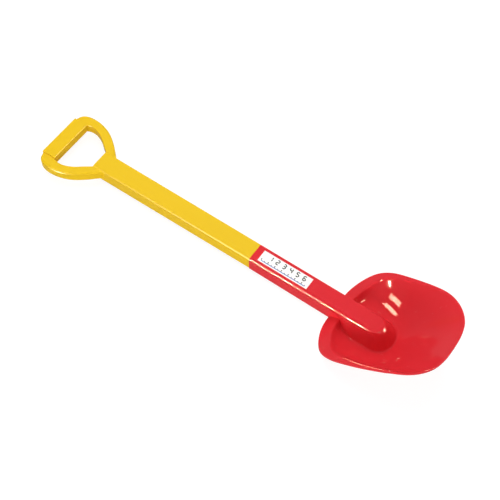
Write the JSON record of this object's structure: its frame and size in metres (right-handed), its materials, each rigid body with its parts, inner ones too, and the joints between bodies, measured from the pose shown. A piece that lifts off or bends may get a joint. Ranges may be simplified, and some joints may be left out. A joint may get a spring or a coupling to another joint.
{
  "type": "sand shovel",
  "caption": "Long-handled toy sand shovel with a D-shaped grip, a straight ribbed handle and a dished round-nosed blade.",
  "frame": {"origin": "centre of the bounding box in plan, at the height of the lowest point of the blade's belly", "axes": "+X along the shaft from the grip to the blade's tip, +Z out of the shaft's flat top, +Y completes the frame and is normal to the plane of symmetry"},
  "size_m": [0.6, 0.1444, 0.0771],
  "materials": {
    "handle_plastic": "yellow moulded plastic with a soft shine",
    "blade_plastic": "red moulded plastic, shiny",
    "label_film": "white stuck-on film"
  },
  "bodies": {
    "root": {"handle": "handle_plastic", "grip_cover": "handle_plastic", "blade": "blade_plastic", "label": "label_film"}
  },
  "joints": []
}
